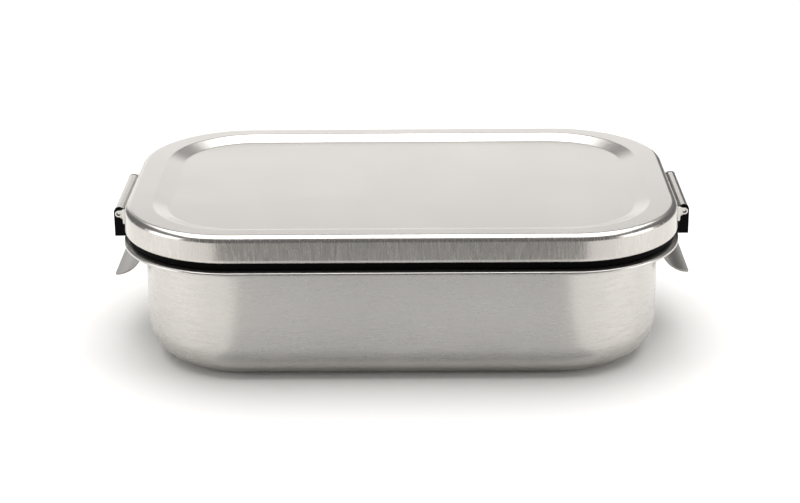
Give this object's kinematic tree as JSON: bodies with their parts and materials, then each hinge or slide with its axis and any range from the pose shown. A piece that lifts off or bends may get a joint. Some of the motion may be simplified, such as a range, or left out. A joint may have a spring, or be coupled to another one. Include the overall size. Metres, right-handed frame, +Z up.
{
  "type": "lunch box",
  "caption": "Rectangular stainless-steel lunch box: deep-drawn tub, pressed lid with a sunk panel and silicone seal, and a hinged clip latch on each short end.",
  "frame": {"origin": "middle of the tub's flat base", "axes": "+Z up out of the base, +X along the long side to the right-hand latch, +Y to the back"},
  "size_m": [0.2182, 0.1324, 0.0592],
  "materials": {
    "brushed_tub_steel": "brushed along the long side, satin",
    "brushed_lid_steel": "brushed, satin",
    "clip_steel": "satin pressed strip",
    "bright_steel": "bright",
    "seal_silicone": "matt black silicone",
    "liner_plastic": "moulded black, fine grain"
  },
  "bodies": {
    "tub": {"tub": "brushed_tub_steel"},
    "lid": {"lid_shell": "brushed_lid_steel", "lid_seal": "seal_silicone", "right_hinge_bracket": "bright_steel", "right_hinge_pin": "bright_steel", "left_hinge_bracket": "bright_steel", "left_hinge_pin": "bright_steel"},
    "right_latch": {"right_latch_plate": "clip_steel", "right_latch_liner": "liner_plastic"},
    "left_latch": {"left_latch_plate": "clip_steel", "left_latch_liner": "liner_plastic"}
  },
  "joints": [
    {"name": "lid_lift", "type": "slide", "parent": "tub", "child": "lid", "axis": [0, 0, 1], "range_m": [0, 0.013]},
    {"name": "right_latch_swing", "type": "hinge", "parent": "lid", "child": "right_latch", "pos_m": [0.1061, 0, 0.0527], "axis": [0, -1, 0], "range_deg": [0, 150]},
    {"name": "left_latch_swing", "type": "hinge", "parent": "lid", "child": "left_latch", "pos_m": [-0.1061, 0, 0.0527], "axis": [0, 1, 0], "range_deg": [0, 150]}
  ],
  "couplings": [
    {"joint": "right_latch_swing", "follows": "lid_lift", "rad_per_m": 200},
    {"joint": "left_latch_swing", "follows": "lid_lift", "rad_per_m": 200}
  ]
}
